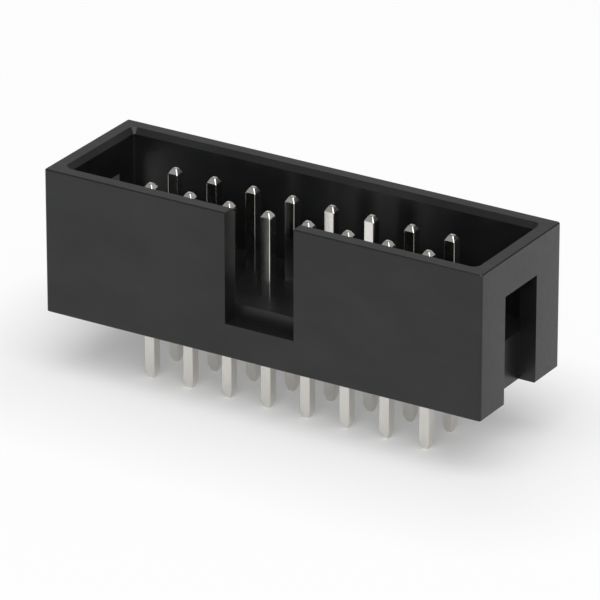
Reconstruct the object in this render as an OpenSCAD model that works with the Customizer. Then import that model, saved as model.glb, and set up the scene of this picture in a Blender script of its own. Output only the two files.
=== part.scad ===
// Shrouded box header: two rows of straight square contacts, pressed through the
// base of a one-piece moulded housing, for soldering into a board.
// Millimetres. +Z points out of the mating side, X runs along the rows and the
// key notch faces -Y. The origin is the centre of the housing's underside, which
// seats on the board, so the solder tails reach below z = 0.

/* [Contacts] */
// Contacts in each of the two rows
positions = 8; // [3:1:25]
// Distance between neighbouring contacts, and between the two rows
pitch = 2.54; // [2:0.01:4]
// Side of the square contact wire
pin_w = 0.64; // [0.5:0.01:0.9]
// How far a solder tail reaches below the board face
tail_len = 3.95; // [2:0.05:8]
// How far a contact's mating tip stays below the rim
tip_depth = 0.8; // [0.2:0.05:3]
// Length of the taper at a contact's mating tip
tip_len = 0.3; // [0.1:0.05:1]
// Side of the small flat that this taper leaves
tip_w = 0.28; // [0.1:0.01:0.45]
// Length of the taper at the end of a solder tail
point_len = 0.5; // [0.1:0.05:1]
// Side of the small flat that this taper leaves
point_w = 0.34; // [0.1:0.01:0.45]
// Gap round a contact in its hole, 0 for the real press fit
pin_clearance = 0; // [0:0.01:0.1]

/* [Housing] */
// Height of the housing, from the board face to the rim
body_h = 8.6; // [6.5:0.1:14]
// Thickness of the shroud's walls
wall = 1.05; // [0.8:0.05:1.8]
// Thickness of the base that holds the contacts
base_t = 2.85; // [1.5:0.05:4]
// Room between the centres of a row and the long wall beside it
row_room = 1.93; // [1.6:0.01:4]
// Room between the centres of the last contacts and the end wall
end_room = 4.01; // [2.5:0.01:8]
// Radius of the upright corners outside
corner_r = 0.15; // [0.15:0.01:0.6]
// Radius of the upright corners of the cavity
cavity_r = 0.15; // [0.1:0.01:0.6]
// Bevel along the outer edges of the rim and of the underside
edge_bevel = 0.06; // [0.05:0.01:0.12]
// Bevel along the cavity's mouth, which leads the plug in
lead_in = 0.3; // [0.05:0.01:0.4]
// Flare round each contact's hole in the underside
hole_flare = 0.12; // [0.05:0.01:0.3]

/* [Key notch] */
// Width of the key notch in the front wall
key_w = 4.4; // [3:0.1:6]
// Height of the sill that the front wall keeps below the notch
key_sill = 2; // [0.8:0.1:2.8]

/* [End windows] */
// Width of the window in each end wall
window_w = 3.4; // [2:0.1:4.4]
// Height of the bridge that the end wall keeps above its window
window_bridge = 2.2; // [1:0.1:3]

/* [Hidden] */
$fn = 48;
overshoot = 0.2; // of cutting bodies past the faces that they open
contacts = 2 * positions;
cavity_l = (positions - 1) * pitch + 2 * end_room;
cavity_w = pitch + 2 * row_room;
body_l = cavity_l + 2 * wall;
body_w = cavity_w + 2 * wall;
hole_w = pin_w + 2 * pin_clearance;

// Contacts 1, 3, 5 ... stand in the row beside the key notch, 2, 4, 6 ... in the
// row behind, each pair at the same place along X.
function contact_x(n) = (floor((n - 1) / 2) - (positions - 1) / 2) * pitch;
function contact_y(n) = (n % 2 == 1 ? -1 : 1) * pitch / 2;

// Upright block with round corners, centred on the Z axis. Its side is a list of
// [outset, z] from the bottom up: at each z the outline stands that far outside
// the nominal l by w, so that bevels and flares run all round the corners.
module block(l, w, r, side) {
    rotate([90, 0, 90])
        linear_extrude(l - 2 * r, center = true)
            block_section(w / 2, side);
    rotate([90, 0, 0])
        linear_extrude(w - 2 * r, center = true)
            block_section(l / 2, side);
    for (x = [-1, 1], y = [-1, 1])
        translate([x * (l / 2 - r), y * (w / 2 - r), 0])
            rotate_extrude()
                polygon(concat(
                    [[0, side[0].y]],
                    [for (p = side) [r + p.x, p.y]],
                    [[0, side[len(side) - 1].y]]
                ));
}

// Section of such a block across the bar of half width w2.
module block_section(w2, side) {
    last = len(side) - 1;
    polygon(concat(
        [for (p = side) [w2 + p.x, p.y]],
        [for (i = [0 : last]) [-w2 - side[last - i].x, side[last - i].y]]
    ));
}

// Square peg on the Z axis that tapers: an outline of [half width, z] seen along
// Y and again along X.
module square_peg(outline) {
    widest = 2 * max([for (p = outline) p.x]);
    last = len(outline) - 1;
    intersection_for (turn = [0, 90])
        rotate([90, 0, turn])
            linear_extrude(widest, center = true)
                polygon(concat(
                    outline,
                    [for (i = [0 : last]) [-outline[last - i].x, outline[last - i].y]]
                ));
}

module housing() {
    color("#3b3c3e")
        difference() {
            block(body_l, body_w, corner_r, [
                [-edge_bevel, 0], [0, edge_bevel],
                [0, body_h - edge_bevel], [-edge_bevel, body_h]
            ]);
            cavity();
            key_notch();
            for (end = [0, 180]) rotate(end) end_window();
            for (n = [1 : contacts])
                translate([contact_x(n), contact_y(n), 0]) contact_hole();
        }
}

// The space that takes the cable plug, open at the rim and flared there.
module cavity() {
    block(cavity_l, cavity_w, cavity_r, [
        [0, base_t], [0, body_h - lead_in],
        [lead_in + overshoot, body_h + overshoot]
    ]);
}

// The slot that only the plug's key fits: through the front wall from the rim
// down to the sill, which lies lower than the cavity's floor.
module key_notch() {
    translate([-key_w / 2, -body_w / 2 - overshoot, key_sill])
        cube([key_w, wall + overshoot, body_h - key_sill + overshoot]);
}

// The opening under the bridge of the +X end wall, down through the underside.
module end_window() {
    translate([cavity_l / 2, -window_w / 2, -overshoot])
        cube([wall + overshoot, window_w, body_h - window_bridge + overshoot]);
}

// The square hole of one contact, flared where it opens in the underside.
module contact_hole() {
    square_peg([
        [hole_w / 2 + hole_flare + overshoot, -overshoot],
        [hole_w / 2, hole_flare],
        [hole_w / 2, base_t + overshoot]
    ]);
}

// One straight contact, from the point of its solder tail to its mating tip.
module contact() {
    pin_top = body_h - tip_depth;
    color("#cfc9bd")
        square_peg([
            [point_w / 2, -tail_len],
            [pin_w / 2, -tail_len + point_len],
            [pin_w / 2, pin_top - tip_len],
            [tip_w / 2, pin_top]
        ]);
}

housing();
for (n = [1 : contacts])
    translate([contact_x(n), contact_y(n), 0]) contact();
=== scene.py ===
"""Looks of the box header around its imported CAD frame: finishes, softened edges,
floor, lights and camera. Lengths are in metres and directions in degrees: azimuth from
the front (-Y) round to the right (+X), elevation up from the board."""
import math

import bmesh
import bpy
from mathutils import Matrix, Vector


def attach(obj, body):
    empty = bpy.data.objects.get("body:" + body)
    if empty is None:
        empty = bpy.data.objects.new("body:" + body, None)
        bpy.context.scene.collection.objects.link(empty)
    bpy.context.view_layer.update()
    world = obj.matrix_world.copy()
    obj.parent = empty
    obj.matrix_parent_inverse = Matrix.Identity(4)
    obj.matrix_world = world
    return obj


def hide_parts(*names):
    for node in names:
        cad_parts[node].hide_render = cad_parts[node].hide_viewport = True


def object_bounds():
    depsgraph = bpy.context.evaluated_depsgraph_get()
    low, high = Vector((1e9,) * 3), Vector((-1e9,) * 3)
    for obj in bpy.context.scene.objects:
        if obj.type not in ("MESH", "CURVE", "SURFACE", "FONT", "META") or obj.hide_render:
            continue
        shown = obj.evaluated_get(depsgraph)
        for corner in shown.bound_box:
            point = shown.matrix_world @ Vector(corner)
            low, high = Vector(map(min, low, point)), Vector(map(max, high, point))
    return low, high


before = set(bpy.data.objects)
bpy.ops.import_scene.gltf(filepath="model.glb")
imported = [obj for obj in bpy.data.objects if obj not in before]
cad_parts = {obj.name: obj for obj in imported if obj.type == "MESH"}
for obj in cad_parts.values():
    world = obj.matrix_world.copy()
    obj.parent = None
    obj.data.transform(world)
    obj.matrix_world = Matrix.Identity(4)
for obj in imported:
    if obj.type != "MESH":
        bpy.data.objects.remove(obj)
cad_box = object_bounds()

MM = 0.001
WELD = 0.0005 * MM  # CAD mesh points closer than this are one
FLAT_WITHIN = math.radians(0.5)  # CAD faces closer than this lie in one plane
HOUSING_EDGE = 0.035 * MM  # radius that the mould leaves on the housing's edges
WIRE_EDGE = 0.05 * MM  # corner radius of the drawn contact wire
EDGE_OVER = math.radians(20)  # edges sharper than this are rounded
ROUND_SEGMENTS = 3

# The housing's plastic: widths of its marks, depths of their relief
MOULD_GRAIN, GRAIN_DEPTH = 0.07 * MM, 0.006 * MM
FLOW_STREAK, STREAK_DEPTH = 0.35 * MM, 0.004 * MM
STREAK_STRETCH = (6, 1, 1)  # streaks run along the housing
MOTTLE = 2.2 * MM
MOTTLE_STRETCH = (2, 1, 1)
MOTTLE_GRAIN = 0.4  # share of the grain that shows in the mottle's colour
PLASTIC_DARK, PLASTIC_PALE = (0.0050, 0.0052, 0.0059), (0.0102, 0.0105, 0.0114)
PLASTIC_SPECULAR = 0.41
SHEEN_LOW, SHEEN_HIGH = 0.30, 0.36  # roughness across the streaks
SHEEN_GRAIN = 0.03  # how far the grain takes it up and down

# The contacts' tin plate
DRAWN_LINE, LINE_DEPTH = 0.05 * MM, 0.0012 * MM
LINE_STRETCH = (1, 1, 30)  # lines run along the wire
PLATE_GRAIN, PLATE_DEPTH = 0.06 * MM, 0.0008 * MM
PLATE_CLOUD = 0.9 * MM
CLOUD_STRETCH = (1, 1, 2.5)
TIN_DARK, TIN_PALE = (0.74, 0.72, 0.68), (0.82, 0.80, 0.76)
SATIN, BRIGHT = 0.46, 0.15  # roughness of the solder tails and of the mating ends
SATIN_UP_TO, BRIGHT_FROM = -0.5 * MM, 2.5 * MM  # heights between which it changes
CLOUDED = 0.08  # added roughness where the plate is cloudy

# The stage
PAPER = (0.9, 0.9, 0.9, 1)
PAPER_ROUGHNESS = 0.9
FLOOR_HALF = 2.0  # from the middle of the paper to its edges
GLOW_NEAR, GLOW_FAR = 0.2, 0.9  # share of the paper's white that no shadow takes away; it is lower near the outline, which paints shade around the object
GLOW_REACH = 9 * MM  # from the outline to where that share is full
SKY_LOW, SKY_HIGH = 0.5, 0.14  # plain light from all round: at the horizon, overhead
LIGHTS = (
    dict(name="key", azimuth=34, elevation=50, distance=0.5, size=0.55, watts=3.1),
    dict(name="back", azimuth=-148, elevation=27, distance=0.5, size=0.3, watts=0.045),
)
VIEW_AZIMUTH, VIEW_ELEVATION = 31.6, 24
VIEW_DISTANCE = 0.35
VIEW_WIDTH = 33.0 * MM  # width of the picture at the object
SENSOR = 36.0  # camera sensor width in millimetres
NEAR_CLIP, FAR_CLIP = 0.01, 10


# ---------------------------------------------------------------- materials

class Nodes:
    """Adds nodes to a new material and links them to its Principled shader."""

    def __init__(self, name, **sockets):
        self.material = bpy.data.materials.new(name)
        self.material.use_nodes = True
        self.tree = self.material.node_tree
        self.shader = self.tree.nodes["Principled BSDF"]
        for socket, value in sockets.items():
            self.shader.inputs[socket.replace("_", " ")].default_value = value
        self.place = self.add("ShaderNodeTexCoord").outputs["Object"]

    def add(self, kind, inputs=(), **settings):
        """A new node. Inputs that are another node's outputs are linked, others are set."""
        node = self.tree.nodes.new(kind)
        for key, value in settings.items():
            setattr(node, key, value)
        for key, value in dict(inputs).items():
            if isinstance(value, bpy.types.NodeSocket):
                self.tree.links.new(value, node.inputs[key])
            else:
                node.inputs[key].default_value = value
        return node

    def number(self, operation, *inputs, clamp=False):
        """Arithmetic on numbers."""
        settings = {"operation": operation, "use_clamp": clamp}
        return self.add("ShaderNodeMath", dict(enumerate(inputs)), **settings).outputs[0]

    def vector(self, operation, *inputs, output="Vector"):
        """Arithmetic on vectors."""
        node = self.add("ShaderNodeVectorMath", dict(enumerate(inputs)), operation=operation)
        return node.outputs[output]

    def noise(self, size, stretch=(1, 1, 1), detail=2.0, roughness=0.5):
        """Noise between 0 and 1 whose blotches are about size metres across."""
        scale = tuple(1 / (size * s) for s in stretch)
        spot = self.add("ShaderNodeMapping", {"Vector": self.place, "Scale": scale})
        settings = {"Vector": spot.outputs[0], "Scale": 1.0, "Detail": detail, "Roughness": roughness}
        return self.add("ShaderNodeTexNoise", settings).outputs["Fac"]

    def ramp(self, value, low, high, at=(0.3, 0.7)):
        """Spreads value between two colours, or between two numbers."""
        if isinstance(low, (int, float)):
            settings = {"Value": value, "From Min": at[0], "From Max": at[1], "To Min": low, "To Max": high}
            return self.add("ShaderNodeMapRange", settings).outputs["Result"]
        node = self.add("ShaderNodeValToRGB", {"Fac": value})
        for element, place, colour in zip(node.color_ramp.elements, at, (low, high)):
            element.position = place
            element.color = (*colour, 1)
        return node.outputs["Color"]

    def bump(self, height, depth, under=None):
        """Relief of the given depth in metres, on top of another relief."""
        inputs = {"Height": height, "Distance": depth, "Strength": 1.0}
        if under is not None:
            inputs["Normal"] = under
        return self.add("ShaderNodeBump", inputs).outputs["Normal"]

    def drive(self, socket, value):
        """Links a value that varies over the surface to one of the shader's inputs."""
        self.tree.links.new(value, self.shader.inputs[socket])


def housing_plastic():
    """Black glass-filled PBT out of a spark-eroded mould: a fine matt grain, a faint
    mottle, and a sheen and relief that flow along the housing in soft streaks."""
    look = Nodes("housing_plastic", Specular_IOR_Level=PLASTIC_SPECULAR)
    cloud = look.noise(MOTTLE, stretch=MOTTLE_STRETCH, detail=4)
    streak = look.noise(FLOW_STREAK, stretch=STREAK_STRETCH, detail=3)
    grain = look.noise(MOULD_GRAIN, detail=3, roughness=0.6)
    mottle = look.number("MULTIPLY_ADD", grain, MOTTLE_GRAIN, cloud)
    look.drive("Base Color", look.ramp(mottle, PLASTIC_DARK, PLASTIC_PALE, at=(0.5, 0.9)))
    across = look.ramp(streak, SHEEN_LOW, SHEEN_HIGH)
    fine = look.ramp(grain, -SHEEN_GRAIN, SHEEN_GRAIN)
    look.drive("Roughness", look.number("ADD", across, fine))
    relief = look.bump(streak, STREAK_DEPTH)
    look.drive("Normal", look.bump(grain, GRAIN_DEPTH, under=relief))
    return look.material


def contact_metal():
    """Tin plate on drawn wire, bright at the mating ends and satin on the solder tails,
    with fine lines along the wire and a soft, uneven gloss."""
    look = Nodes("contact_metal", Metallic=1.0)
    cloud = look.noise(PLATE_CLOUD, stretch=CLOUD_STRETCH, detail=3)
    lines = look.noise(DRAWN_LINE, stretch=LINE_STRETCH)
    grain = look.noise(PLATE_GRAIN)
    look.drive("Base Color", look.ramp(cloud, TIN_DARK, TIN_PALE))
    height = look.add("ShaderNodeSeparateXYZ", {0: look.place}).outputs["Z"]
    gloss = look.ramp(height, SATIN, BRIGHT, at=(SATIN_UP_TO, BRIGHT_FROM))
    look.drive("Roughness", look.number("ADD", gloss, look.ramp(cloud, 0.0, CLOUDED)))
    relief = look.bump(lines, LINE_DEPTH)
    look.drive("Normal", look.bump(grain, PLATE_DEPTH, under=relief))
    return look.material


def floor_finish():
    """White paper with a soft shadow close to the object. To the camera and in
    reflections, its outer part is nearly plain white, and near the object's outline it is
    painted darker: painted shade on top of the real shadow. The light that it sends onto
    the object is that of the paper alone."""
    look = Nodes("floor_finish", Base_Color=PAPER, Roughness=PAPER_ROUGHNESS, Specular_IOR_Level=0.0)
    path = look.add("ShaderNodeLightPath").outputs
    seen = look.number("ADD", path["Is Camera Ray"], path["Is Glossy Ray"])
    seen = look.number("ADD", seen, path["Is Transmission Ray"], clamp=True)
    span = (cad_box[1] - cad_box[0]) / 2
    edge = (span.x, span.y, 1)
    past = look.vector("SUBTRACT", look.vector("ABSOLUTE", look.place), edge)
    past = look.vector("MAXIMUM", past, (0, 0, 0))
    beside = look.vector("LENGTH", past, output="Value")
    # painted shade: the plain white share is low at the object's outline and grows outward
    glow = look.ramp(beside, GLOW_NEAR, GLOW_FAR, at=(0, GLOW_REACH))
    share = look.number("MULTIPLY", seen, glow)
    paper = look.shader.outputs[0]
    white = look.add("ShaderNodeEmission", {"Strength": 1.0}).outputs[0]
    mix = look.add("ShaderNodeMixShader", {0: share, 1: paper, 2: white})
    look.tree.links.new(mix.outputs[0], look.tree.nodes["Material Output"].inputs["Surface"])
    return look.material


# ---------------------------------------------------------------- pieces

def soften(node, name, radius, finish):
    """The CAD node as a clean mesh with rounded edges, in its place on the frame."""
    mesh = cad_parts[node].data.copy()
    mesh.name = name
    shape = bmesh.new()
    shape.from_mesh(mesh)
    bmesh.ops.remove_doubles(shape, verts=shape.verts, dist=WELD)
    bmesh.ops.dissolve_limit(
        shape, angle_limit=FLAT_WITHIN, verts=shape.verts, edges=shape.edges, use_dissolve_boundaries=False
    )
    bmesh.ops.recalc_face_normals(shape, faces=shape.faces)
    shape.to_mesh(mesh)
    shape.free()
    if mesh.has_custom_normals:
        mesh.attributes.remove(mesh.attributes["custom_normal"])
    piece = bpy.data.objects.new(name, mesh)
    bpy.context.scene.collection.objects.link(piece)
    edge = piece.modifiers.new("edges", "BEVEL")
    edge.width = radius
    edge.segments = ROUND_SEGMENTS
    edge.limit_method = "ANGLE"
    edge.angle_limit = EDGE_OVER
    edge.use_clamp_overlap = True
    edge.harden_normals = True
    mesh.materials.clear()
    mesh.materials.append(finish)
    mesh.polygons.foreach_set("use_smooth", [True] * len(mesh.polygons))
    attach(piece, "root")
    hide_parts(node)


plastic = housing_plastic()
tin = contact_metal()
soften("housing", "shroud", HOUSING_EDGE, plastic)
for node in sorted(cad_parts):
    if node != "housing":
        soften(node, node.replace("pin", "contact"), WIRE_EDGE, tin)


# ---------------------------------------------------------------- stage

low, high = cad_box
middle = (low + high) / 2


def aim(item, azimuth, elevation, distance):
    """Puts a lamp or the camera that way from the object's middle, facing it."""
    a, e = math.radians(azimuth), math.radians(elevation)
    back = Vector((math.sin(a) * math.cos(e), -math.cos(a) * math.cos(e), math.sin(e)))
    item.location = middle + back * distance
    item.rotation_euler = back.to_track_quat("Z", "Y").to_euler()
    bpy.context.scene.collection.objects.link(item)


def make_floor():
    mesh = bpy.data.meshes.new("floor")
    signs = ((-1, -1), (1, -1), (1, 1), (-1, 1))
    corners = [(x * FLOOR_HALF, y * FLOOR_HALF, low.z) for x, y in signs]
    mesh.from_pydata(corners, [], [(0, 1, 2, 3)])
    floor = bpy.data.objects.new("floor", mesh)
    bpy.context.scene.collection.objects.link(floor)
    mesh.materials.append(floor_finish())


def make_world():
    """White sky, brighter at the horizon than overhead."""
    world = bpy.data.worlds.new("studio")
    bpy.context.scene.world = world
    world.use_nodes = True
    tree = world.node_tree
    height = tree.nodes.new("ShaderNodeSeparateXYZ")
    tree.links.new(tree.nodes.new("ShaderNodeTexCoord").outputs["Generated"], height.inputs[0])
    level = tree.nodes.new("ShaderNodeMapRange")
    tree.links.new(height.outputs["Z"], level.inputs["Value"])
    level.inputs["To Min"].default_value = SKY_LOW
    level.inputs["To Max"].default_value = SKY_HIGH
    sky = tree.nodes["Background"]
    sky.inputs["Color"].default_value = (1, 1, 1, 1)
    tree.links.new(level.outputs["Result"], sky.inputs["Strength"])


def make_light(name, azimuth, elevation, distance, size, watts):
    """A square soft box that faces the object."""
    lamp = bpy.data.lights.new(name, "AREA")
    lamp.energy = watts
    lamp.size = size
    aim(bpy.data.objects.new(name, lamp), azimuth, elevation, distance)


def make_camera():
    lens = bpy.data.cameras.new("camera")
    lens.sensor_width = SENSOR
    lens.lens = SENSOR * VIEW_DISTANCE / VIEW_WIDTH
    lens.clip_start = NEAR_CLIP
    lens.clip_end = FAR_CLIP
    camera = bpy.data.objects.new("camera", lens)
    aim(camera, VIEW_AZIMUTH, VIEW_ELEVATION, VIEW_DISTANCE)
    bpy.context.scene.camera = camera


make_floor()
make_world()
for light in LIGHTS:
    make_light(**light)
make_camera()
bpy.context.scene.view_settings.view_transform = "Standard"
